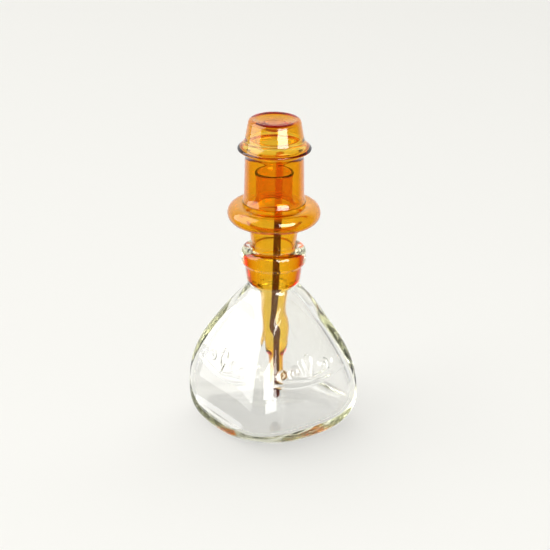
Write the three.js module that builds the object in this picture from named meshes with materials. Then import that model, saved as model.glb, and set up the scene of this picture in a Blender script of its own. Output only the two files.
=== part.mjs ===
// An ink bottle in four loose pieces of glass: a clear flask with four rounded faces, an amber
// dropper stopper ground into its neck, a thin glass rod that stands in the dropper, and an amber
// cap that keeps dust off the rod. Millimetres, +Z up, the foot on z = 0 and the axis of the
// neck on Z. The flask's four faces look along +X, -X, +Y and -Y, and its corners between them.
import * as THREE from "three";

// ---- clearances --------------------------------------------------------------------------------
const seatGap = 0.3; // between two pieces where one rests on or in the other
const rodGap = 0.35; // between the rod and the narrowest place that it stands in

// ---- flask: driving sizes ----------------------------------------------------------------------
const footRadius = 19.6; // axis to corner, where the wall leaves the surface it stands on
const bodyRadius = 28.4; // axis to corner, at the widest place
const widestHeight = 9.9;
const shoulderHeight = 47.2; // the shoulder ends and the neck begins
const shoulderSlope = THREE.MathUtils.degToRad(46); // where it runs up to the neck
const cavitySlope = THREE.MathUtils.degToRad(50); // of the cavity there, so the wall thickens downwards
const heelWall = 2.1; // at the widest place, over a corner
const floorThickness = 3;
const floorFillet = 5;
const footRecess = 0.4; // the underside is pushed up inside a flat ring
const footRingWidth = 3.6;

const neckHeight = 7.6; // shoulder to the underside of the lip
const neckRootWall = 3;
const neckTopWall = 2.75;
const lipHeight = 5.7;
const lipReach = 1.2; // the lip stands out from the neck by this much
const lipRound = 1.6;

// How far a face stands from the axis, as a share of the corner's radius at the same height.
const bodyFace = 0.78; // over the middle of the faces
const footFace = 0.98; // at the foot, which is nearly round
const neckFace = 1.03; // above 1 the faces have run out, and the section is round
const faceRunOut = 12; // the height, below the neck, over which they run out
const cornerSharpness = 14; // how tightly a face turns into a corner

// ---- dropper stopper: driving sizes ------------------------------------------------------------
const mouthConeRadius = 7; // of the ground cone, level with the flask's mouth
const coneSlope = 0.137; // millimetres of radius for each millimetre of height
const coneStandOut = 8.55; // cone that shows between the flask's mouth and the bulge
const coneWall = 1.1;
const coneFillet = 1.5; // the cone bends out into the bulge
const underAngle = THREE.MathUtils.degToRad(-120); // where the bulge's rounding starts, underneath
const tubeRadius = 4.3; // the dropper's tube below the cone
const tubeWall = 0.6;
const nozzleWall = 0.55;
const nozzleFlare = 0.25; // the nozzle's top is that much wider outside
const nozzleLength = 9;
const nozzleTaperLength = 6; // from the tube in to the nozzle
const nozzleDrop = 8.3; // the nozzle ends that far above the flask's floor

const bulgeRingRadius = 11.85; // axis to the middle of the bulge's rounded wall
const bulgeTubeRadius = 3.2; // of the rounding itself
const bulgeWall = 0.95;
const chimneyRadius = 5.85; // the tube that rises from the top of the bulge
const chimneyWall = 1;
const chimneyRise = 10.95; // above the top of the bulge
const chimneyFlare = 0.7; // the lip stands out by this much

// ---- cap: driving sizes ------------------------------------------------------------------------
const skirtRadius = 9.6;
const capWall = 1.2;
const skirtFlare = 0.7; // its foot stands out by this much
const skirtLength = 18.05; // its foot to the middle of the brim
const brimReach = 1.65; // the skirt to the centre of the brim's rounded edge
const brimRound = 0.6;
const crownHeight = 8.9; // middle of the brim to the middle of the crown's rounded edge
const crownFootRise = 3.4; // middle of the brim to where the crown's wall starts
const crownFootStep = 0.3; // there it is that much narrower than the skirt
const crownTaper = 0.9;
const crownRound = 0.8;
const crownDish = 1.4; // the top sinks by this much
const crownThickness = 1.8; // of the glass under the dish

// ---- rod: driving sizes ------------------------------------------------------------------------
const rodRadius = 1.25;
const rodTipOut = 3; // its lower end reaches that far below the nozzle
const rodProud = 5.7; // its top stands that far above the chimney
const rodLeanDirection = THREE.MathUtils.degToRad(21.8); // around Z, from +X

// ---- facets ------------------------------------------------------------------------------------
const flaskFacets = 48;
const turnedFacets = 30;
const rodFacets = 12;
const curveSteps = 4; // stretches on each curve of a turned outline
const bodySteps = 8; // on each curve of the flask's body
const lipSteps = 3; // on the flask's lip

// ---- places worked out from the sizes ----------------------------------------------------------
const lipBottom = shoulderHeight + neckHeight;
const mouthHeight = lipBottom + lipHeight;
const coneRadiusAt = (z) => mouthConeRadius + coneSlope * (z - mouthHeight);
const boreRadiusAt = (z) => coneRadiusAt(z) + seatGap;
const neckRootRadius = boreRadiusAt(shoulderHeight) + neckRootWall;
const neckTopRadius = boreRadiusAt(lipBottom) + neckTopWall;
const lipRadius = neckTopRadius + lipReach;
const boreEndHeight = shoulderHeight - 0.25 * neckRootWall; // the bore opens into the cavity
const boreEndRadius = boreRadiusAt(shoulderHeight);

const coneBottom = shoulderHeight;
const coneTop = mouthHeight + coneStandOut;
const coneBottomRadius = coneRadiusAt(coneBottom);
const bulgeHeight = coneTop + bulgeTubeRadius; // middle of the bulge's rounded wall
const bulgeInnerRadius = bulgeTubeRadius - bulgeWall;
const bulgeTop = bulgeHeight + bulgeTubeRadius; // flat there, for the cap to stand on
const chimneyTop = bulgeTop + chimneyRise;
const chimneyBore = chimneyRadius - chimneyWall;

const tubeTop = coneBottom - (coneBottomRadius - tubeRadius); // it widens to the cone at 45 degrees
const tubeBore = tubeRadius - tubeWall;
const nozzleBottom = floorThickness + nozzleDrop;
const nozzleTop = nozzleBottom + nozzleLength;
const tubeBottom = nozzleTop + nozzleTaperLength;

// The rod leans about the middle of the nozzle until its top is near the chimney's bore.
const rodTipHeight = nozzleBottom - rodTipOut;
const rodLength = chimneyTop + rodProud - rodTipHeight;
const rodPivotHeight = nozzleBottom + nozzleLength / 2;
const rodLean = (chimneyBore - rodRadius - rodGap) / (chimneyTop - rodPivotHeight);
const nozzleBore = rodRadius + rodGap + (rodLean * nozzleLength) / 2;
const nozzleRadius = nozzleBore + nozzleWall;
const nozzleTopRadius = nozzleRadius + nozzleFlare;

const skirtBottom = bulgeTop + seatGap;
const skirtBore = skirtRadius - capWall;
const seatInnerRadius = skirtBore - seatGap; // inside it the bulge's top bends up to the chimney
const seatFillet = seatInnerRadius - chimneyRadius;
const brimHeight = skirtBottom + skirtLength;
const brimBottom = brimHeight - brimRound;
const brimRingRadius = skirtRadius + brimReach;
const crownFootHeight = brimHeight + crownFootRise;
const crownFootRadius = skirtRadius - crownFootStep;
const crownEdgeHeight = brimHeight + crownHeight;
const crownRingRadius = crownFootRadius - crownTaper - crownRound;
const dishBottom = crownEdgeHeight + crownRound - crownDish;

// ---- shape helpers -----------------------------------------------------------------------------

// 0 at or below 0, 1 at or above 1, and an even S between them.
const ease = (x) => THREE.MathUtils.smoothstep(x, 0, 1);

// The share of the corner's radius at which the flask's faces stand, at height z.
function faceShareAt(z) {
  const panel = THREE.MathUtils.lerp(footFace, bodyFace, ease(z / widestHeight));
  return THREE.MathUtils.lerp(neckFace, panel, ease((shoulderHeight - z) / faceRunOut));
}

// Radius of a rounded square section: a circle of the corner's radius, cut by four faces.
function sectionRadius(angle, corner, share) {
  const quarter = Math.PI / 2;
  const fromFace = angle - quarter * Math.round(angle / quarter);
  const face = (corner * share) / Math.cos(fromFace);
  const power = -cornerSharpness;
  return (corner ** power + face ** power) ** (1 / power);
}

// A closed skin through a row of rings around Z; the first and the last ring are points on Z.
function ringSkin(rings, facets) {
  const positions = [];
  for (const { corner, z, share } of rings) {
    for (let i = 0; i < facets; i++) {
      const angle = (2 * Math.PI * i) / facets;
      const radius = share ? sectionRadius(angle, corner, share) : corner;
      positions.push(radius * Math.cos(angle), radius * Math.sin(angle), z);
    }
  }
  const index = [];
  for (let r = 0; r + 1 < rings.length; r++) {
    for (let i = 0; i < facets; i++) {
      const next = (i + 1) % facets;
      const [a, b] = [r * facets + i, r * facets + next];
      const [c, d] = [a + facets, b + facets];
      if (rings[r].corner > 0) index.push(a, b, c);
      if (rings[r + 1].corner > 0) index.push(b, d, c);
    }
  }
  const geometry = new THREE.BufferGeometry();
  geometry.setAttribute("position", new THREE.Float32BufferAttribute(positions, 3));
  geometry.setIndex(index);
  geometry.computeVertexNormals();
  return geometry;
}

// A shape turned around Z from a path of (radius, height).
function turned(path, facets) {
  const geometry = new THREE.LatheGeometry(path.getPoints(curveSteps), facets);
  return geometry.rotateX(Math.PI / 2);
}

function glass(color, opacity) {
  return new THREE.MeshStandardMaterial({
    color,
    roughness: 0.04,
    metalness: 0,
    transparent: true,
    opacity,
  });
}

// ---- flask -------------------------------------------------------------------------------------

// Corner profile of the outside, from the foot to the neck: out and up around the widest place,
// then over the shoulder.
function flaskOutside() {
  const recessRadius = footRadius - footRingWidth;
  const upperHeight = shoulderHeight - widestHeight;
  const shoulderRun = 0.6 * upperHeight; // how far the slope at the neck is felt down the shoulder
  const path = new THREE.Path();
  path.moveTo(0, footRecess);
  path.lineTo(recessRadius - footRecess, footRecess);
  path.lineTo(recessRadius, 0);
  path.lineTo(footRadius, 0);
  path.bezierCurveTo(
    THREE.MathUtils.lerp(footRadius, bodyRadius, 0.27), 0,
    bodyRadius, 0.3 * widestHeight,
    bodyRadius, widestHeight,
  );
  path.bezierCurveTo(
    bodyRadius, widestHeight + 0.33 * upperHeight,
    neckRootRadius + shoulderRun * Math.cos(shoulderSlope),
    shoulderHeight - shoulderRun * Math.sin(shoulderSlope),
    neckRootRadius, shoulderHeight,
  );
  return path;
}

// The neck, the lip and the bore that the cone is ground into.
function flaskNeck() {
  const path = new THREE.Path();
  const lipCorner = 0.25 * lipRound;
  path.moveTo(neckRootRadius, shoulderHeight);
  path.lineTo(neckTopRadius, lipBottom);
  path.lineTo(lipRadius - lipCorner, lipBottom + lipCorner);
  path.lineTo(lipRadius, lipBottom + lipRound);
  path.absarc(lipRadius - lipRound, mouthHeight - lipRound, lipRound, 0, Math.PI / 2, false);
  path.lineTo(boreRadiusAt(mouthHeight), mouthHeight);
  path.lineTo(boreEndRadius, shoulderHeight);
  return path;
}

// Corner profile of the cavity, from the neck's bore down to the floor.
function flaskInside() {
  const cavityRadius = bodyRadius - heelWall;
  const cavityWidest = widestHeight + 0.6;
  const shoulderRun = 0.52 * (boreEndHeight - cavityWidest);
  const path = new THREE.Path();
  path.moveTo(boreEndRadius, boreEndHeight);
  path.bezierCurveTo(
    boreEndRadius + shoulderRun * Math.cos(cavitySlope),
    boreEndHeight - shoulderRun * Math.sin(cavitySlope),
    cavityRadius, THREE.MathUtils.lerp(cavityWidest, boreEndHeight, 0.2),
    cavityRadius, cavityWidest,
  );
  path.bezierCurveTo(
    cavityRadius, floorThickness + 0.4 * floorFillet,
    cavityRadius - 0.5 * floorFillet, floorThickness,
    cavityRadius - 1.7 * floorFillet, floorThickness,
  );
  path.lineTo(0, floorThickness);
  return path;
}

function flaskGeometry() {
  const round = ({ x, y }) => ({ corner: x, z: y, share: 0 });
  const faced = ({ x, y }) => ({ corner: x, z: y, share: faceShareAt(y) });
  const outside = flaskOutside().getPoints(bodySteps).map(faced);
  const neck = flaskNeck().getPoints(lipSteps).map(round).slice(1);
  const inside = flaskInside().getPoints(bodySteps).map(faced);
  for (const ring of outside.slice(0, 3)) ring.share = 0; // the foot's recess is round
  return ringSkin([...outside, ...neck, ...inside], flaskFacets);
}

// ---- dropper stopper ---------------------------------------------------------------------------

// One closed outline: up the outside from the nozzle, around the bulge and up the chimney, then
// down inside all of them again.
function stopperOutline() {
  const path = new THREE.Path();
  stopperOutside(path);
  chimneyLip(path);
  stopperBore(path);
  path.closePath();
  return path;
}

function stopperOutside(path) {
  path.moveTo(nozzleRadius, nozzleBottom);
  path.lineTo(nozzleTopRadius, nozzleTop);
  path.bezierCurveTo(
    nozzleTopRadius, THREE.MathUtils.lerp(nozzleTop, tubeBottom, 0.4),
    tubeRadius, THREE.MathUtils.lerp(nozzleTop, tubeBottom, 0.5),
    tubeRadius, tubeBottom,
  );
  path.lineTo(tubeRadius, tubeTop);
  path.lineTo(coneBottomRadius, coneBottom);
  path.lineTo(coneRadiusAt(coneTop - coneFillet), coneTop - coneFillet);
  path.quadraticCurveTo(
    coneRadiusAt(coneTop), coneTop,
    bulgeRingRadius + bulgeTubeRadius * Math.cos(underAngle),
    bulgeHeight + bulgeTubeRadius * Math.sin(underAngle),
  );
  path.absarc(bulgeRingRadius, bulgeHeight, bulgeTubeRadius, underAngle, Math.PI / 2, false);
  path.lineTo(seatInnerRadius, bulgeTop);
  path.quadraticCurveTo(chimneyRadius, bulgeTop, chimneyRadius, bulgeTop + seatFillet);
}

// Up to the chimney's flared lip, and over it into the bore.
function chimneyLip(path) {
  const flareHeight = 3;
  const lipOut = chimneyRadius + chimneyFlare;
  path.lineTo(chimneyRadius, chimneyTop - flareHeight);
  path.quadraticCurveTo(
    chimneyRadius, chimneyTop - flareHeight / 2,
    lipOut, chimneyTop - chimneyWall / 2,
  );
  path.quadraticCurveTo(lipOut, chimneyTop, chimneyRadius, chimneyTop);
  path.quadraticCurveTo(chimneyBore, chimneyTop - chimneyWall, chimneyBore, chimneyTop - flareHeight);
}

// Down the chimney's bore, around the hollow of the bulge, and through the cone, the tube and the
// nozzle.
function stopperBore(path) {
  const hollowRadiusAt = (z) => coneRadiusAt(z) - coneWall;
  const bulgeCeiling = bulgeTop - bulgeWall;
  path.lineTo(chimneyBore, bulgeTop + seatFillet);
  path.quadraticCurveTo(chimneyBore, bulgeCeiling, seatInnerRadius, bulgeCeiling);
  path.absarc(bulgeRingRadius, bulgeHeight, bulgeInnerRadius, Math.PI / 2, underAngle, true);
  path.quadraticCurveTo(
    hollowRadiusAt(coneTop), coneTop + bulgeWall,
    hollowRadiusAt(coneTop - coneFillet), coneTop - coneFillet,
  );
  path.lineTo(hollowRadiusAt(coneBottom + coneWall), coneBottom + coneWall);
  path.lineTo(tubeBore, tubeTop);
  path.lineTo(tubeBore, tubeBottom);
  path.bezierCurveTo(
    tubeBore, THREE.MathUtils.lerp(nozzleTop, tubeBottom, 0.6),
    nozzleBore, THREE.MathUtils.lerp(nozzleTop, tubeBottom, 0.5),
    nozzleBore, nozzleTop,
  );
  path.lineTo(nozzleBore, nozzleBottom);
}

// ---- cap ---------------------------------------------------------------------------------------

// Up the outside from the skirt's rim to the middle of the dished top, and back down inside.
function capOutline() {
  const path = new THREE.Path();
  const rim = capWall / 2;
  const flareHeight = 2.2;
  const brimFillet = 1.6;
  const crownEdgeAngle = THREE.MathUtils.degToRad(12);
  const dishAngle = THREE.MathUtils.degToRad(108);
  path.moveTo(skirtBore + skirtFlare + rim, skirtBottom);
  path.absarc(skirtRadius + skirtFlare - rim, skirtBottom + rim, rim, -Math.PI / 2, 0, false);
  path.quadraticCurveTo(skirtRadius, skirtBottom + 1.5 * rim, skirtRadius, skirtBottom + flareHeight);
  path.lineTo(skirtRadius, brimBottom - brimFillet);
  path.quadraticCurveTo(skirtRadius, brimBottom, brimRingRadius, brimBottom);
  path.absarc(brimRingRadius, brimHeight, brimRound, -Math.PI / 2, Math.PI * 0.4, false);
  path.quadraticCurveTo(
    crownFootRadius, THREE.MathUtils.lerp(brimHeight, crownFootHeight, 0.5),
    crownFootRadius, crownFootHeight,
  );
  path.absarc(crownRingRadius, crownEdgeHeight, crownRound, crownEdgeAngle, dishAngle, false);
  path.quadraticCurveTo(0.6 * crownRingRadius, dishBottom, 0, dishBottom);
  capInside(path, rim, brimFillet, flareHeight);
  return path;
}

// Inside, from under the dish to the skirt's rim; the hollow swells a little behind the brim.
function capInside(path, rim, brimFillet, flareHeight) {
  const ceiling = dishBottom - crownThickness;
  path.lineTo(0, ceiling);
  path.quadraticCurveTo(crownRingRadius - capWall, ceiling, crownRingRadius, ceiling - capWall);
  path.lineTo(crownFootRadius - capWall, crownFootHeight - capWall / 2);
  path.quadraticCurveTo(
    brimRingRadius + brimRound - capWall, brimHeight,
    skirtBore, brimBottom - brimFillet,
  );
  path.lineTo(skirtBore, skirtBottom + flareHeight);
  path.quadraticCurveTo(skirtBore, skirtBottom + 1.5 * rim, skirtBore + skirtFlare, skirtBottom + rim);
  path.absarc(skirtBore + skirtFlare + rim, skirtBottom + rim, rim, Math.PI, Math.PI * 1.5, false);
}

// ---- rod ---------------------------------------------------------------------------------------

// Along +Z from its lower end, with both ends melted round.
function rodOutline() {
  const path = new THREE.Path();
  path.moveTo(0, 0);
  path.absarc(0, rodRadius, rodRadius, -Math.PI / 2, 0, false);
  path.lineTo(rodRadius, rodLength - rodRadius);
  path.absarc(0, rodLength - rodRadius, rodRadius, 0, Math.PI / 2, false);
  return path;
}

// ---- the assembly ------------------------------------------------------------------------------

const clearGlass = glass(0xe9efe4, 0.35);
const amberGlass = glass(0xd9820f, 0.6);
const darkAmberGlass = glass(0x7a3a10, 0.8);

function piece(name, geometry, material) {
  const mesh = new THREE.Mesh(geometry, material);
  mesh.name = name;
  return mesh;
}

const bottle = new THREE.Group();
bottle.add(piece("flask", flaskGeometry(), clearGlass));
bottle.add(piece("dropper_stopper", turned(stopperOutline(), turnedFacets), amberGlass));
bottle.add(piece("dust_cap", turned(capOutline(), turnedFacets), amberGlass));

const rod = piece("glass_rod", turned(rodOutline(), rodFacets), darkAmberGlass);
const leanX = rodLean * Math.cos(rodLeanDirection);
const leanY = rodLean * Math.sin(rodLeanDirection);
const tipDrop = rodTipHeight - rodPivotHeight;
rod.position.set(leanX * tipDrop, leanY * tipDrop, rodTipHeight);
rod.quaternion.setFromUnitVectors(
  new THREE.Vector3(0, 0, 1),
  new THREE.Vector3(leanX, leanY, 1).normalize(),
);
bottle.add(rod);

export default bottle;
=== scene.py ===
# %% [markdown]
# # An ink bottle of clear and amber glass
#
# The bottle is four loose pieces of glass: a moulded flask with four rounded faces, a lamp-worked
# amber stopper ground into its neck, a thin rod that stands in the stopper, and an amber cap over
# the rod. A CAD model already holds their sizes and how they move. Here each piece is made again as
# a fine, smooth surface, because glass shows every facet twice: once as it reflects, and once as it
# bends what is behind it.

# %% Load the frame
import math

import bpy
import numpy as np
from mathutils import Matrix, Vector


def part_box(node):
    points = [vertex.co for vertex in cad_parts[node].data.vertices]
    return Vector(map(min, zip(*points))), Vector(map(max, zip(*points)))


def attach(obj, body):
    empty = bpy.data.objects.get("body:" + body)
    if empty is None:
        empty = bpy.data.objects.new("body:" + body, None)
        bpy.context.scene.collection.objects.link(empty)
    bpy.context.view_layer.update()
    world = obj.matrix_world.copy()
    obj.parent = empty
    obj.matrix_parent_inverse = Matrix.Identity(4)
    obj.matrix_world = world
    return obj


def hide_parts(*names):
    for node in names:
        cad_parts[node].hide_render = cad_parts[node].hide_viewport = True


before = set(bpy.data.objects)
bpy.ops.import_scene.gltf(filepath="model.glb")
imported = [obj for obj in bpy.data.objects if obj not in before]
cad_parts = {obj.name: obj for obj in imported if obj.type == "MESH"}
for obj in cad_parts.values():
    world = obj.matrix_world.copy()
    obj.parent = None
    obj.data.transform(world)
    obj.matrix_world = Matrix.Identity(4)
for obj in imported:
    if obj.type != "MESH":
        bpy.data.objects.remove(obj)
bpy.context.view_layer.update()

MM = 0.001  # all the sizes below are in millimetres, and Blender's unit is the metre
scene = bpy.context.scene

# %% [markdown]
# ## Measures
#
# The heights come from the boxes of the CAD pieces, so that the surfaces made here stand where the
# CAD pieces stand. What the boxes can't say, such as the thickness of a wall, is given by name.

# %% Heights and radii from the CAD pieces
def measured(node):
    """Lowest and highest corner of a CAD piece, in millimetres."""
    low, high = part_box(node)
    return np.array(low) / MM, np.array(high) / MM


flask_low, flask_high = measured("flask")
stopper_low, stopper_high = measured("dropper_stopper")
cap_low, cap_high = measured("dust_cap")
rod_low, rod_high = measured("glass_rod")

MOUTH = flask_high[2]
NOZZLE = stopper_low[2]
CHIMNEY = stopper_high[2]
BULGE_RADIUS = max(stopper_high[:2])
SKIRT = cap_low[2]
CAP_TOP = cap_high[2]
BRIM_RADIUS = max(cap_high[:2])
SEAT_GAP = 0.3  # between the ground cone and its bore, and under the cap
print(f"mouth {MOUTH:.1f}, chimney {CHIMNEY:.1f}, cap {CAP_TOP:.1f}, bulge {BULGE_RADIUS:.1f}")

# %% [markdown]
# ## Camera
#
# The bottle is seen from a little above, with one corner of the flask nearly towards the camera.
# A long lens keeps its sides parallel. The camera leans half a degree, so the bottle seems to lean
# a little to the right.

# %% Place the camera
CAMERA_TURN = math.radians(-36)
CAMERA_RISE = math.radians(22.65)
CAMERA_LEAN = math.radians(0.5)
CAMERA_DISTANCE = 552.5
CAMERA_HEIGHT = 50.4
CAMERA_ASIDE = 0.5
LENS = 111.3


def view_axes(turn, rise):
    """Right, up and back of a camera: back = (sin t cos e, -cos t cos e, sin e)."""
    right = np.array([math.cos(turn), math.sin(turn), 0])
    back = np.array([
        math.sin(turn) * math.cos(rise),
        -math.cos(turn) * math.cos(rise),
        math.sin(rise),
    ])
    return right, np.cross(back, right), back


view_right, view_up, view_back = view_axes(CAMERA_TURN, CAMERA_RISE)
camera = bpy.data.objects.new("camera", bpy.data.cameras.new("camera"))
camera.data.lens = LENS
camera.data.dof.use_dof = False
camera.data.clip_start = 10 * MM
target = np.array([0, 0, CAMERA_HEIGHT]) + CAMERA_ASIDE * view_right
lean_cos, lean_sin = math.cos(CAMERA_LEAN), math.sin(CAMERA_LEAN)
pose = np.eye(4)
pose[:3, 0] = view_right * lean_cos + view_up * lean_sin
pose[:3, 1] = view_up * lean_cos - view_right * lean_sin
pose[:3, 2] = view_back
pose[:3, 3] = (target + CAMERA_DISTANCE * view_back) * MM
camera.matrix_world = Matrix(pose.tolist())
scene.collection.objects.link(camera)
scene.camera = camera
print("camera at", np.round(pose[:3, 3], 3))

# %% [markdown]
# ## Outlines
#
# A turned glass piece is one outline carried round an axis. An outline is drawn as straight runs,
# arcs and Bezier curves of (radius, height). A flame melts every corner of lamp-worked glass a
# little round, and so does `soften`, which spaces the points evenly and then averages each with
# its neighbours a few times.

# %% Curves for outlines
def arc(centre, radius, start, end, count=24):
    """Points at centre + radius (cos t, sin t), for t from start to end in degrees."""
    t = np.radians(np.linspace(start, end, count))
    return np.array(centre) + radius * np.stack([np.cos(t), np.sin(t)], axis=1)


def bezier(*points, count=24):
    """A Bezier curve: the sum of n!/(k!(n-k)!) t^k (1-t)^(n-k) times point k, for t from 0 to 1."""
    t = np.linspace(0, 1, count)[:, None]
    n = len(points) - 1
    return sum(
        math.comb(n, k) * t**k * (1 - t) ** (n - k) * np.array(p, float)
        for k, p in enumerate(points)
    )


def joined(*runs):
    """One outline from points and curves in order, without repeated points."""
    path = np.vstack([np.atleast_2d(np.array(run, float)) for run in runs])
    step = np.linalg.norm(np.diff(path, axis=0), axis=1)
    return path[np.r_[True, step > 1e-6]]


def spaced(path, step):
    """The same line with points at equal distances: each coordinate is read off against length."""
    length = np.r_[0, np.cumsum(np.linalg.norm(np.diff(path, axis=0), axis=1))]
    at = np.linspace(0, length[-1], max(int(round(length[-1] / step)), 2) + 1)
    return np.stack([np.interp(at, length, path[:, i]) for i in range(path.shape[1])], axis=1)


def soften(path, step, passes, loop=False):
    """Even spacing, then `passes` times p[i] = (p[i-1] + 2 p[i] + p[i+1]) / 4, ends held."""
    if loop:
        path = spaced(np.vstack([path, path[:1]]), step)[:-1]
        for _ in range(passes):
            path = (np.roll(path, 1, axis=0) + 2 * path + np.roll(path, -1, axis=0)) / 4
        return path
    path = spaced(path, step)
    for _ in range(passes):
        path[1:-1] = (path[:-2] + 2 * path[1:-1] + path[2:]) / 4
    return path


def ease(x):
    """0 up to 0, 1 from 1 on, and 3x^2 - 2x^3 between."""
    x = np.clip(x, 0, 1)
    return x * x * (3 - 2 * x)


# %% [markdown]
# ## From a grid to a mesh
#
# Every piece is a grid of points: rows along its outline and columns round the axis. Columns join
# up into rings. Where the outline starts and ends on the axis, each end is one point with a fan of
# triangles. Where it is a loop, the last row joins the first. The sign of the enclosed volume says
# which way the faces point, so they can be turned to point out.

# %% Grid helpers
def ring_faces(rows, columns, loop):
    """Four corners of each face between row i and i+1 and between column j and j+1."""
    i = np.arange(rows if loop else rows - 1)[:, None]
    j = np.arange(columns)[None, :]
    following, beside = (i + 1) % rows, (j + 1) % columns
    corners = [i * columns + j, i * columns + beside, following * columns + beside, following * columns + j]
    return np.stack(np.broadcast_arrays(*corners), axis=-1).reshape(-1, 4)


def volume_of(points, faces):
    """Sum over the faces of a . (b x c) / 6, with a square as two triangles."""
    a, b, c, d = (points[faces[:, k]] for k in range(4))
    return float((np.cross(b, c) * a).sum() + (np.cross(c, d) * a).sum()) / 6


def glass_piece(name, grid, loop=False):
    """A closed smooth mesh from a (rows, columns, 3) grid in millimetres."""
    rows, columns, _ = grid.shape
    if loop:
        points = grid.reshape(-1, 3)
        faces = ring_faces(rows, columns, True)
    else:
        inner = grid[1:-1].reshape(-1, 3)
        points = np.vstack([inner, grid[0, :1], grid[-1, :1]])
        first, last = len(inner), len(inner) + 1
        j = np.arange(columns)
        beside = (j + 1) % columns
        top = (rows - 3) * columns
        start = np.stack([np.full(columns, first), beside, j, np.full(columns, first)], axis=1)
        end = np.stack([np.full(columns, last), top + j, top + beside, np.full(columns, last)], axis=1)
        faces = np.vstack([ring_faces(rows - 2, columns, False), start, end])
    if volume_of(points, faces) < 0:
        faces = faces[:, ::-1]
    squares = faces[:, 0] != faces[:, 3]
    lists = faces[squares].tolist() + faces[~squares][:, :3].tolist()
    mesh = bpy.data.meshes.new(name)
    mesh.from_pydata((points * MM).tolist(), [], lists)
    mesh.shade_smooth()
    piece = bpy.data.objects.new(name, mesh)
    scene.collection.objects.link(piece)
    print(f"{name}: {len(lists)} faces, {abs(volume_of(points, faces)) / 1000:.1f} ml of glass")
    return piece


def turned(outline, columns):
    """Each (r, z) goes round the axis: (r cos a, r sin a, z)."""
    a = 2 * np.pi * np.arange(columns) / columns
    r, z = outline[:, :1], outline[:, 1:]
    return np.stack([r * np.cos(a), r * np.sin(a), z + 0 * a], axis=-1)


# %% [markdown]
# ## Flask
#
# A moulded bottle with four faces. Its section is a circle of the corner's radius, cut by four
# straight sides, and the corners stay softly rounded where they meet. The share tells how far out
# the sides stand: small over the body, where the faces are broad, and above 1 at the neck, where
# the section is round. The cavity is the same kind of surface, drawn inside the first, with thick
# corners and a thick floor as the molten glass leaves them.

# %% Outline of the flask
FOOT_RADIUS = 19.6
BODY_RADIUS = 28.4
WIDEST = 9.9
SHOULDER = 47.2
NECK_ROOT_RADIUS = 8.4
NECK_TOP_RADIUS = 9.3
LIP_BOTTOM = SHOULDER + 7.6
LIP_RADIUS = 10.5
BORE_MOUTH = 7.3
BORE_SLOPE = 0.137
FLOOR = 3.0
HEEL_WALL = 2.1
SHOULDER_SLOPE = 46  # degrees, where the shoulder runs up to the neck
CAVITY_SLOPE = 50  # of the cavity there, so that the wall thickens downwards


def bore_radius(z):
    """Radius of the ground bore at height z: a cone that narrows downwards."""
    return BORE_MOUTH - BORE_SLOPE * (MOUTH - z)


def slope_point(radius, height, slope, run):
    """The point reached from (radius, height) by going out and down a slope of so many degrees."""
    t = math.radians(slope)
    return radius + run * math.cos(t), height - run * math.sin(t)


def flask_outside():
    """Under the foot, round the body, up the shoulder and the neck, and over the lip."""
    rise = SHOULDER - WIDEST
    heel = bezier(
        (FOOT_RADIUS, 0),
        (FOOT_RADIUS + 0.27 * (BODY_RADIUS - FOOT_RADIUS), 0),
        (BODY_RADIUS, 0.3 * WIDEST),
        (BODY_RADIUS, WIDEST),
        count=40,
    )
    shoulder = bezier(
        (BODY_RADIUS, WIDEST),
        (BODY_RADIUS, WIDEST + 0.33 * rise),
        slope_point(NECK_ROOT_RADIUS, SHOULDER, SHOULDER_SLOPE, 0.6 * rise),
        (NECK_ROOT_RADIUS, SHOULDER),
        count=60,
    )
    lip = joined(
        (NECK_TOP_RADIUS, LIP_BOTTOM),
        arc((LIP_RADIUS - 1.0, LIP_BOTTOM + 1.2), 1.0, -80, 0),
        arc((LIP_RADIUS - 1.5, MOUTH - 1.5), 1.5, 0, 90),
        arc((bore_radius(MOUTH) + 0.5, MOUTH - 0.5), 0.5, 90, 180),
    )
    foot = bezier((0, 0.4), (11, 0.4), (15, 0), (17, 0))
    return joined(foot, heel, shoulder, lip)


def flask_inside():
    """Down the ground bore, out under the shoulder and down to the floor's centre."""
    bore_end = SHOULDER - 0.8
    cavity = BODY_RADIUS - HEEL_WALL
    widest = WIDEST + 0.6
    radius = bore_radius(SHOULDER)
    return joined(
        (bore_radius(MOUTH - 1), MOUTH - 1),
        (radius, SHOULDER),
        bezier(
            (radius, bore_end),
            slope_point(radius, bore_end, CAVITY_SLOPE, 0.52 * (bore_end - widest)),
            (cavity, widest + 0.2 * (bore_end - widest)),
            (cavity, widest),
            count=60,
        ),
        bezier((cavity, widest), (cavity, FLOOR + 2), (cavity - 2.5, FLOOR), (cavity - 8.5, FLOOR)),
        (0, FLOOR),
    )


# %% Section of the flask
BODY_SHARE = 0.78
FOOT_SHARE = 0.98
NECK_SHARE = 1.03
RUN_OUT = 12.0
SHARPNESS = 22
CROWDING = 0.14  # draws the columns together on the middle of a face


def share_at(z):
    """How far out the faces stand: foot share to body share up to the widest place, then run out."""
    panel = FOOT_SHARE + (BODY_SHARE - FOOT_SHARE) * ease(z / WIDEST)
    return NECK_SHARE + (panel - NECK_SHARE) * ease((SHOULDER - z) / RUN_OUT)


def section(angle, corner, share):
    """(corner^-p + (corner share / cos f)^-p)^(-1/p), f being the angle from the nearest face."""
    f = angle - np.pi / 2 * np.round(angle / (np.pi / 2))
    corner = np.maximum(corner, 1e-6)
    return (corner**-SHARPNESS + (corner * share / np.cos(f)) ** -SHARPNESS) ** (-1 / SHARPNESS)


def face_columns(per_face):
    """Angles of the columns: g - CROWDING sin 4g, for g at even steps."""
    g = 2 * np.pi * np.arange(4 * per_face) / (4 * per_face)
    return g - CROWDING * np.sin(4 * g)


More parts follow.
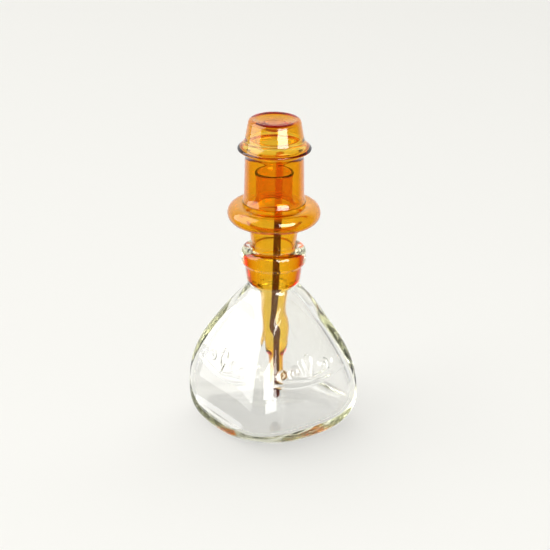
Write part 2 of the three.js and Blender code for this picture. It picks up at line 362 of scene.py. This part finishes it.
def faced(outline, per_face):
    """Turns an outline of corners into a four-faced surface; the neck and the recess stay round."""
    a = face_columns(per_face)
    r, z = outline[:, :1], outline[:, 1:]
    square = section(a, r, share_at(z))
    keep = np.clip(ease((z - SHOULDER + 1) / 3) + ease((FOOT_RADIUS - 1 - r) / 3) * ease(1.5 - z), 0, 1)
    radius = r * keep + square * (1 - keep)
    return np.stack([radius * np.cos(a), radius * np.sin(a), z + 0 * a], axis=-1)


# %% [markdown]
# ## Raised ornament
#
# Two neighbouring faces carry an ornament that the mould leaves a third of a millimetre proud: a
# drop between two pairs of scrolls, over a curved line. It is part of the flask's own surface. A
# point of a face is moved outwards by a rounded ridge whose height depends only on how far the
# nearest stroke is. The other two faces are plain.

# %% Strokes of the ornament
ORNAMENT_HEIGHT = 24.6
STROKE = 0.62
RELIEF = 0.34
ORNATE_SIDE = np.array([-1, -1])  # the ornate faces are those towards -X and -Y


def scroll(x, y, size, side):
    """A spiral at (x, y) whose radius falls evenly with the angle, mirrored by side."""
    t = np.linspace(0, 1, 90)
    turn = np.radians(-100 + 560 * t)
    radius = size * (1 - 0.85 * t)
    curl = np.stack([x + radius * np.cos(turn), y + radius * np.sin(turn)], axis=1)
    return curl * np.array([side, 1])


def stem(side):
    """From under the drop out to the foot of the outer scroll, touching the inner one."""
    return bezier((0.6, -3.6), (3.4, -2.9), (6.2, -2.2), (10.6, -1.5), count=60) * np.array([side, 1])


def drop():
    """A drop: x = 2.3 sin t sin^2(t / 2) and y = -3.9 cos t + 0.3, for t all the way round."""
    t = np.linspace(-np.pi, np.pi, 110)
    return np.stack([2.3 * np.sin(t) * np.sin(t / 2) ** 2, 0.3 - 3.9 * np.cos(t)], axis=1)


def underline():
    """A shallow bow: height = -5.2 + 2.6 (x / 13)^2."""
    x = np.linspace(-13, 13, 150)
    return np.stack([x, -5.2 + 2.6 * (x / 13) ** 2], axis=1)


strokes = [drop(), underline()]
for side in (1, -1):
    strokes += [scroll(5.6, 0.1, 2.3, side), scroll(10.4, 0.2, 1.6, side), stem(side)]


def relief(grid, rows):
    """Moves the points of some rows out by RELIEF (1 - (distance / STROKE)^2)^2 near each stroke."""
    part = grid[rows]
    angle = np.arctan2(part[..., 1], part[..., 0])
    facing = np.pi / 2 * np.round(angle / (np.pi / 2))
    normal = np.stack([np.cos(facing), np.sin(facing)], axis=-1)
    across = part[..., 1] * normal[..., 0] - part[..., 0] * normal[..., 1]
    middle_line = np.stack([part[:, 0, 0], part[:, 0, 2]], axis=1)
    length = np.r_[0, np.cumsum(np.hypot(*np.diff(middle_line, axis=0).T))]
    up = length - np.interp(ORNAMENT_HEIGHT, middle_line[:, 1], length)
    flat = np.stack([across, np.broadcast_to(up[:, None], across.shape)], axis=-1)
    distance = np.full(across.shape, np.inf)
    for run in (run for stroke in strokes for run in np.array_split(stroke, 8)):
        gap = np.linalg.norm(flat[:, :, None, :] - run[None, None], axis=-1).min(axis=2)
        distance = np.minimum(distance, gap)
    height = RELIEF * np.clip(1 - (distance / STROKE) ** 2, 0, None) ** 2
    height *= normal @ ORNATE_SIDE > 0
    part[..., :2] += height[..., None] * normal
    return grid


# %% Make the flask
PER_FACE = 104
ORNATE_FROM, ORNATE_TO = 17, 32  # rows stand closest between these heights
outside = soften(flask_outside(), 0.25, 6)
ornate = (outside[:, 1] > ORNATE_FROM) & (outside[:, 1] < ORNATE_TO)
ornate &= outside[:, 0] > NECK_ROOT_RADIUS + 3
at_lip = outside[:, 1] > LIP_BOTTOM - 1
number = np.arange(len(outside))
outside = outside[ornate | (at_lip & (number % 2 == 0)) | (number % 5 == 0) | (number == number[-1])]
inside = soften(flask_inside(), 1.4, 2)
flask_grid = np.vstack([faced(outside, PER_FACE), faced(inside, PER_FACE)])
ornate = (outside[:, 1] > ORNATE_FROM) & (outside[:, 1] < ORNATE_TO)
ornament_rows = np.flatnonzero(ornate & (outside[:, 0] > NECK_ROOT_RADIUS + 3.6))
flask_grid = relief(flask_grid, slice(ornament_rows[0], ornament_rows[-1] + 1))
flask = glass_piece("flask_glass", flask_grid)

# %% [markdown]
# ## Dropper stopper
#
# One loop of an outline, because the bore runs right through. It goes up the outside from the
# nozzle, along the tube and the ground cone, round the hollow bulge, up the chimney and over its
# lip, and then down inside all of them again. The blown walls are all about as thin.

# %% Outline of the stopper
CONE_TOP = MOUTH + 8.55
CONE_MOUTH = BORE_MOUTH - SEAT_GAP
TUBE_RADIUS = 4.3
TUBE_BORE = 3.8
CONE_WALL = 0.85
NOZZLE_BORE = 1.85
BULGE_TUBE = 3.2
BULGE_WALL = 0.9
BULGE_RING = BULGE_RADIUS - BULGE_TUBE
BULGE_HEIGHT = CONE_TOP + BULGE_TUBE
CHIMNEY_RADIUS = 5.85
CHIMNEY_BORE = 4.95
SHOULDER_RADIUS = 8.1


def cone_radius(z):
    """Radius of the ground cone: parallel to the bore, one seat gap inside it."""
    return CONE_MOUTH - BORE_SLOPE * (MOUTH - z)


def stopper_outline():
    """The whole loop, in order, as described above."""
    ring = (BULGE_RING, BULGE_HEIGHT)
    top = BULGE_HEIGHT + BULGE_TUBE
    nozzle_end = NOZZLE + 9
    taper = NOZZLE + 12
    tube_end = NOZZLE + 15
    outside = joined(
        (2.35, NOZZLE),
        (2.6, nozzle_end),
        bezier((2.6, nozzle_end), (2.7, taper - 0.4), (TUBE_RADIUS, taper), (TUBE_RADIUS, tube_end)),
        (TUBE_RADIUS, SHOULDER - 1.2),
        bezier(
            (TUBE_RADIUS, SHOULDER - 1.2),
            (TUBE_RADIUS, SHOULDER),
            (cone_radius(SHOULDER + 1), SHOULDER + 1),
        ),
        (cone_radius(CONE_TOP - 1.5), CONE_TOP - 1.5),
        bezier(
            (cone_radius(CONE_TOP - 1.5), CONE_TOP - 1.5),
            (cone_radius(CONE_TOP), CONE_TOP),
            arc(ring, BULGE_TUBE, -115, -115, 1)[0],
        ),
        arc(ring, BULGE_TUBE, -115, 90, 60),
        (SHOULDER_RADIUS, top),
        bezier((SHOULDER_RADIUS, top), (CHIMNEY_RADIUS, top), (CHIMNEY_RADIUS, top + 2.2)),
    )
    lip_edge = (CHIMNEY_RADIUS + 0.55, CHIMNEY - 0.5)
    lip_top = (CHIMNEY_RADIUS - 0.3, CHIMNEY)
    lip = joined(
        (CHIMNEY_RADIUS, CHIMNEY - 3),
        bezier((CHIMNEY_RADIUS, CHIMNEY - 3), (CHIMNEY_RADIUS, CHIMNEY - 1.4), lip_edge),
        bezier(lip_edge, (CHIMNEY_RADIUS + 0.5, CHIMNEY), lip_top),
        bezier(lip_top, (CHIMNEY_BORE, CHIMNEY - 1), (CHIMNEY_BORE, CHIMNEY - 3)),
    )
    ceiling = top - BULGE_WALL
    cone_foot = (cone_radius(SHOULDER + 2) - CONE_WALL, SHOULDER + 2)
    bore = joined(
        (CHIMNEY_BORE, top + 2.2),
        bezier((CHIMNEY_BORE, top + 2.2), (CHIMNEY_BORE, ceiling), (SHOULDER_RADIUS, ceiling)),
        arc(ring, BULGE_TUBE - BULGE_WALL, 90, -115, 50),
        bezier(
            arc(ring, BULGE_TUBE - BULGE_WALL, -115, -115, 1)[0],
            (cone_radius(CONE_TOP) - CONE_WALL, CONE_TOP + BULGE_WALL),
            (cone_radius(CONE_TOP - 1.5) - CONE_WALL, CONE_TOP - 1.5),
        ),
        cone_foot,
        bezier(cone_foot, (TUBE_BORE + 0.2, SHOULDER), (TUBE_BORE, SHOULDER - 1.5)),
        (TUBE_BORE, tube_end),
        bezier((TUBE_BORE, tube_end), (TUBE_BORE, taper), (NOZZLE_BORE, taper), (NOZZLE_BORE, nozzle_end)),
        (NOZZLE_BORE, NOZZLE),
    )
    return joined(outside, lip, bore)


# %% Make the stopper
stopper_path = soften(stopper_outline(), 0.3, 5, loop=True)
stopper = glass_piece("stopper_glass", turned(stopper_path, 120), loop=True)

# %% [markdown]
# ## Cap
#
# A hat of blown glass: a skirt, a flared bell whose edge is the widest place, and a crown. The
# crown narrows upwards to a rounded edge, and its top sinks towards a thick spot in the middle,
# where the glass was cut from the blowpipe.

# %% Outline of the cap
SKIRT_RADIUS = 9.6
SKIRT_TOP_RADIUS = 9.35
CAP_WALL = 1.05
SKIRT_FLARE = 0.7
BRIM = SKIRT + 18.05
BRIM_ROUND = 0.5
BRIM_RING = BRIM_RADIUS - BRIM_ROUND
CROWN_ROUND = 1.35
CROWN_RING = 7.1
DISH = 1.5


def cap_outline():
    """From the middle of the dished top, down the outside to the skirt, and up inside."""
    crown_edge = (CROWN_RING, CAP_TOP - CROWN_ROUND)
    dish_bottom = CAP_TOP - DISH
    crown_foot = (9.3, BRIM + 3.5)
    brim_edge = arc((BRIM_RING, BRIM), BRIM_ROUND, 52, -70, 20)
    waist = BRIM - 2.6
    foot_radius = SKIRT_RADIUS + SKIRT_FLARE
    thick_spot = (5.0, dish_bottom - 0.5)
    outside = joined(
        bezier((0, dish_bottom), (4.6, dish_bottom), arc(crown_edge, CROWN_ROUND, 112, 112, 1)[0]),
        arc(crown_edge, CROWN_ROUND, 112, 10, 20),
        crown_foot,
        bezier(crown_foot, (9.42, BRIM + 2.5), (9.9, BRIM + 1.9), brim_edge[0]),
        brim_edge,
        bezier(brim_edge[-1], (SKIRT_TOP_RADIUS + 0.4, BRIM - 1.1), (SKIRT_TOP_RADIUS, waist)),
        (SKIRT_RADIUS, SKIRT + 4),
        bezier((SKIRT_RADIUS, SKIRT + 4), (SKIRT_RADIUS, SKIRT + 1.4), (foot_radius, SKIRT + 0.5)),
        arc((foot_radius - 0.5, SKIRT + 0.5), 0.5, 0, -180, 16),
    )
    inside = joined(
        bezier(
            (foot_radius - CAP_WALL, SKIRT + 0.5),
            (SKIRT_RADIUS - CAP_WALL, SKIRT + 1.6),
            (SKIRT_RADIUS - CAP_WALL, SKIRT + 4),
        ),
        (SKIRT_TOP_RADIUS - CAP_WALL, waist - 0.3),
        bezier(
            (SKIRT_TOP_RADIUS - CAP_WALL, waist - 0.3),
            (8.5, BRIM - 0.9),
            (12.9, BRIM + 0.25),
            (10.4, BRIM + 0.7),
            (8.4, BRIM + 3.5),
        ),
        (7.62, CAP_TOP - 2.0),
        bezier((7.62, CAP_TOP - 2.0), (7.6, CAP_TOP - 0.75), (6.7, CAP_TOP - 0.85), thick_spot),
        bezier(thick_spot, (3.6, dish_bottom - 0.75), (2.6, dish_bottom - 2.7), (0, dish_bottom - 2.8)),
    )
    return joined(outside, inside)


# %% Make the cap
cap = glass_piece("cap_glass", turned(soften(cap_outline(), 0.22, 4), 140))

# %% [markdown]
# ## Rod
#
# A drawn glass rod, cut and melted round at both ends, with a slight bead at the lower end. It
# leans in the chimney, so it is turned about its own line: an outline round an axis that runs from
# the middle of its lower end to the middle of its upper end.

# %% Make the rod
ROD_RADIUS = 1.25
TIP_BEAD = 1.38


def leaning(outline, columns, foot, head):
    """foot + along (height) + radius (cos a u + sin a v), u and v being square to the rod's line."""
    along = (head - foot) / np.linalg.norm(head - foot)
    u = np.cross([0, 1, 0], along)
    u /= np.linalg.norm(u)
    v = np.cross(along, u)
    a = 2 * np.pi * np.arange(columns) / columns
    r, h = outline[:, :1, None], outline[:, 1:, None]
    return foot + h * along + r * (np.cos(a)[None, :, None] * u + np.sin(a)[None, :, None] * v)


rod_foot = np.array([rod_low[0] + ROD_RADIUS, rod_low[1] + ROD_RADIUS, rod_low[2]])
rod_head = np.array([rod_high[0] - ROD_RADIUS, rod_high[1] - ROD_RADIUS, rod_high[2]])
rod_length = np.linalg.norm(rod_head - rod_foot)
rod_outline = joined(
    arc((0, TIP_BEAD), TIP_BEAD, -90, 30),
    bezier((TIP_BEAD, 1.8), (TIP_BEAD, 3.4), (ROD_RADIUS, 3.6), (ROD_RADIUS, 5)),
    (ROD_RADIUS, rod_length - ROD_RADIUS),
    arc((0, rod_length - ROD_RADIUS), ROD_RADIUS, 0, 90),
)
rod = glass_piece("rod_glass", leaning(soften(rod_outline, 0.25, 2), 48, rod_foot, rod_head))

# %% [markdown]
# ## Glass
#
# Soda-lime glass bends light by an index of about 1.52 and is nearly as smooth as a melt can be.
# Its colour isn't in its surface but in its depth: light loses a share in each millimetre, so a
# thin wall is pale and a thick edge is dark. Blender gives that as Volume Absorption, which takes
# off (1 - colour) times density in each metre.
#
# In the neck, the ground cone and the ground bore touch all round. Glass on glass hardly bends
# light, so there each surface has an index near 1, and the amber seems to fill the neck. A point
# attribute, `joint`, says where that is. Another, `film`, says where dried ink clings.

# %% Helpers for materials
def linear(code):
    """An sRGB hex colour as linear red, green, blue and 1."""
    value = np.array([int(code[i:i + 2], 16) for i in (1, 3, 5)]) / 255
    value = np.where(value <= 0.04045, value / 12.92, ((value + 0.055) / 1.055) ** 2.4)
    return (*value.tolist(), 1.0)


def node(tree, kind, links=None, **settings):
    """Adds a node, gives its properties and inputs their values, and links sockets to inputs."""
    made = tree.nodes.new(kind)
    for key, value in settings.items():
        if hasattr(made, key):
            setattr(made, key, value)
        else:
            made.inputs[key.replace("_", " ")].default_value = value
    for key, socket in (links or {}).items():
        tree.links.new(socket, made.inputs[key])
    return made


def new_material(name):
    """An empty material with an output."""
    material = bpy.data.materials.new(name)
    material.use_nodes = True
    material.node_tree.nodes.clear()
    return material, material.node_tree


def mark(piece, name, share):
    """Writes share(radius, height), from 0 to 1, on the points of a piece as an attribute."""
    points = np.empty(len(piece.data.vertices) * 3)
    piece.data.vertices.foreach_get("co", points)
    points = points.reshape(-1, 3) / MM
    values = np.clip(share(np.hypot(points[:, 0], points[:, 1]), points[:, 2]), 0, 1)
    piece.data.attributes.new(name, "FLOAT", "POINT").data.foreach_set("value", values.astype(np.float32))
    print(f"{piece.name}: {name} on {int((values > 0.5).sum())} points")


GLASS_INDEX = 1.52
CONTACT_INDEX = 1.02


def marked(tree, name, low, high):
    """A number that runs from low to high as the attribute runs from 0 to 1."""
    share = node(tree, "ShaderNodeAttribute", attribute_name=name)
    ranged = node(tree, "ShaderNodeMapRange", {"Value": share.outputs["Fac"]}, To_Min=low, To_Max=high)
    return ranged.outputs["Result"]


def absorbing_glass(name, depth_colour, density, wave, wave_size, joint=False, film=None, seeds=None):
    """Glass coloured by depth, with slow waves, and perhaps a ground joint, a film and seeds."""
    material, tree = new_material(name)
    surface = node(
        tree, "ShaderNodeBsdfPrincipled",
        Base_Color=(1, 1, 1, 1), Transmission_Weight=1.0, Roughness=0.0, IOR=GLASS_INDEX,
    )
    place = {"Vector": node(tree, "ShaderNodeTexCoord").outputs["Object"]}
    waves = node(tree, "ShaderNodeTexNoise", place, Scale=1 / (wave_size * MM), Detail=1.0)
    bump = node(tree, "ShaderNodeBump", {"Height": waves.outputs["Fac"]}, Strength=1.0, Distance=wave * MM)
    tree.links.new(bump.outputs["Normal"], surface.inputs["Normal"])
    if joint:
        tree.links.new(marked(tree, "joint", GLASS_INDEX, CONTACT_INDEX), surface.inputs["IOR"])
    colour = None
    if seeds:
        cells = node(tree, "ShaderNodeTexVoronoi", place, Scale=1 / (seeds["apart"] * MM))
        spot = node(
            tree, "ShaderNodeMapRange", {"Value": cells.outputs["Distance"]},
            From_Min=0.7 * seeds["radius"] / seeds["apart"], From_Max=seeds["radius"] / seeds["apart"],
            To_Min=0.75, To_Max=0.0,
        )
        colour = node(
            tree, "ShaderNodeMix", {"Factor": spot.outputs["Result"]}, data_type="RGBA",
        )
        colour.inputs[6].default_value = (1, 1, 1, 1)
        colour.inputs[7].default_value = linear(seeds["colour"])
        colour = colour.outputs[2]
    if film:
        layer = node(
            tree, "ShaderNodeMix", {"Factor": marked(tree, "film", 0, 1)}, data_type="RGBA",
        )
        layer.inputs[6].default_value = (1, 1, 1, 1)
        layer.inputs[7].default_value = linear(film)
        if colour:
            tree.links.new(colour, layer.inputs[6])
        colour = layer.outputs[2]
    if colour:
        tree.links.new(colour, surface.inputs["Base Color"])
    depth = node(tree, "ShaderNodeVolumeAbsorption", Color=linear(depth_colour), Density=density)
    node(
        tree, "ShaderNodeOutputMaterial",
        {"Surface": surface.outputs["BSDF"], "Volume": depth.outputs["Volume"]},
    )
    return material


# %% Make the glasses
CLEAR = ("#E4E400", 6.0)
AMBER = ("#FCE900", 2400.0)
flask.data.materials.append(absorbing_glass(
    "soda_lime_glass_moulded", *CLEAR, wave=0.015, wave_size=8.0, joint=True,
))
stopper.data.materials.append(absorbing_glass(
    "amber_glass_lamp_worked", *AMBER, wave=0.02, wave_size=6.0, joint=True, film="#4A1A06",
    seeds={"apart": 6.0, "radius": 0.16, "colour": "#6A2A06"},
))
cap.data.materials.append(absorbing_glass("amber_glass_blown", *AMBER, wave=0.02, wave_size=6.0))
rod.data.materials.append(absorbing_glass(
    "amber_glass_drawn_rod", *AMBER, wave=0.01, wave_size=6.0, film="#5E1E06",
))


def on_cone(radius_at):
    """Marks the points that lie on a cone of radius_at(z) between the shoulder and the mouth."""
    def share(r, z):
        level = ease((z - SHOULDER - 0.3) / 0.6) * ease((MOUTH - 0.4 - z) / 0.6)
        return level * (np.abs(r - radius_at(z)) < 0.25)
    return share


mark(flask, "joint", on_cone(bore_radius))
mark(stopper, "joint", on_cone(cone_radius))
mark(stopper, "film", lambda r, z: ease((NOZZLE + 1.6 - z) / 1.2))
mark(rod, "film", lambda r, z: ease((CONE_TOP + 4 - z) / 6))

# %% Put the pieces on their bodies
for piece, body, cad, slot in (
    (flask, "bottle", "flask", "clear_glass"),
    (stopper, "stopper", "dropper_stopper", "amber_glass"),
    (cap, "cap", "dust_cap", "amber_glass"),
    (rod, "rod", "glass_rod", "dark_amber_glass"),
):
    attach(piece, body)
    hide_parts(cad)

# %% [markdown]
# ## Floor and light
#
# A pale floor, a wide soft box on the left, a smaller one on the right of the camera, and a pale
# sweep behind the bottle. The boxes make the bright bands on the amber glass, and the sweep lights
# its edges. The floor is kept out of the reflections, so that the glass stays deep in colour
# between them. The clear flask and the thin amber walls hardly darken a floor lit from all round,
# so they cast no shadow.

# %% Make the floor
FLOOR_HALF = 4.0  # metres
floor_mesh = bpy.data.meshes.new("floor")
corners = [(FLOOR_HALF * x, FLOOR_HALF * y, 0) for x, y in ((-1, -1), (1, -1), (1, 1), (-1, 1))]
floor_mesh.from_pydata(corners, [], [(0, 1, 2, 3)])
floor = bpy.data.objects.new("floor", floor_mesh)
scene.collection.objects.link(floor)
paper, tree = new_material("white_paper")
matt = node(tree, "ShaderNodeBsdfDiffuse", Color=linear("#F2F1EC"))
node(tree, "ShaderNodeOutputMaterial", {"Surface": matt.outputs["BSDF"]})
floor_mesh.materials.append(paper)
floor.visible_glossy = False
for piece in (flask, stopper, cap, rod):
    piece.visible_shadow = False

# %% Light it
def soft_box(name, turn, rise, distance, width, height, power):
    """An area light on a ball around the bottle, turned from the camera's side, facing the bottle."""
    right, up, back = view_axes(CAMERA_TURN + math.radians(turn), math.radians(rise))
    light = bpy.data.lights.new(name, "AREA")
    light.shape = "RECTANGLE"
    light.size, light.size_y = width, height
    light.energy = power
    lamp = bpy.data.objects.new(name, light)
    place = np.eye(4)
    place[:3, 0], place[:3, 1], place[:3, 2] = right, up, back
    place[:3, 3] = back * distance + np.array([0, 0, 0.06])
    lamp.matrix_world = Matrix(place.tolist())
    lamp.visible_camera = False
    scene.collection.objects.link(lamp)
    return lamp


soft_box("soft_box_left", -85, 23.5, 5.0, 5.5, 7.1, 430)
soft_box("soft_box_right", 33, 12.5, 5.0, 3.7, 2.78, 401)

world = bpy.data.worlds.new("studio")
scene.world = world
world.use_nodes = True
tree = world.node_tree
tree.nodes.clear()
# The sky is grey and brightest at the horizon, and the sweep is the part of it behind the bottle.
SWEEP = 0.95
ray = node(tree, "ShaderNodeTexCoord").outputs["Generated"]
height = node(tree, "ShaderNodeSeparateXYZ", {"Vector": ray}).outputs["Z"]
level = node(tree, "ShaderNodeMapRange", {"Value": height}, From_Min=-1.0, From_Max=1.0)
ramp = node(tree, "ShaderNodeValToRGB", {"Fac": level.outputs["Result"]})
behind = node(tree, "ShaderNodeVectorMath", {0: ray}, operation="DOT_PRODUCT")
behind.inputs[1].default_value = (-math.sin(CAMERA_TURN), math.cos(CAMERA_TURN), 0)
sweep = node(
    tree, "ShaderNodeMapRange", {"Value": behind.outputs["Value"]}, interpolation_type="SMOOTHSTEP",
    From_Min=0.15, From_Max=0.7, To_Min=0.0, To_Max=SWEEP,
)
glow = node(
    tree, "ShaderNodeMath", {0: ramp.outputs["Color"], 1: sweep.outputs["Result"]}, operation="MAXIMUM",
)
sky = node(tree, "ShaderNodeBackground", {"Color": glow.outputs["Value"]}, Strength=1.0)
node(tree, "ShaderNodeOutputWorld", {"Surface": sky.outputs["Background"]})
stops = ramp.color_ramp.elements
for position, grey in ((0.45, 0.06), (0.52, 0.18), (0.7, 0.1)):
    stops.new(position).color = (grey, grey, grey, 1)
stops[0].color = (0.03, 0.03, 0.03, 1)
stops[-1].color = (0.04, 0.04, 0.04, 1)
print("sky", [(round(stop.position, 2), round(stop.color[0], 2)) for stop in stops])

scene.view_settings.view_transform = "Standard"
scene.cycles.max_bounces = 32
scene.cycles.transmission_bounces = 32
scene.cycles.glossy_bounces = 16
scene.cycles.caustics_refractive = False
scene.cycles.caustics_reflective = False
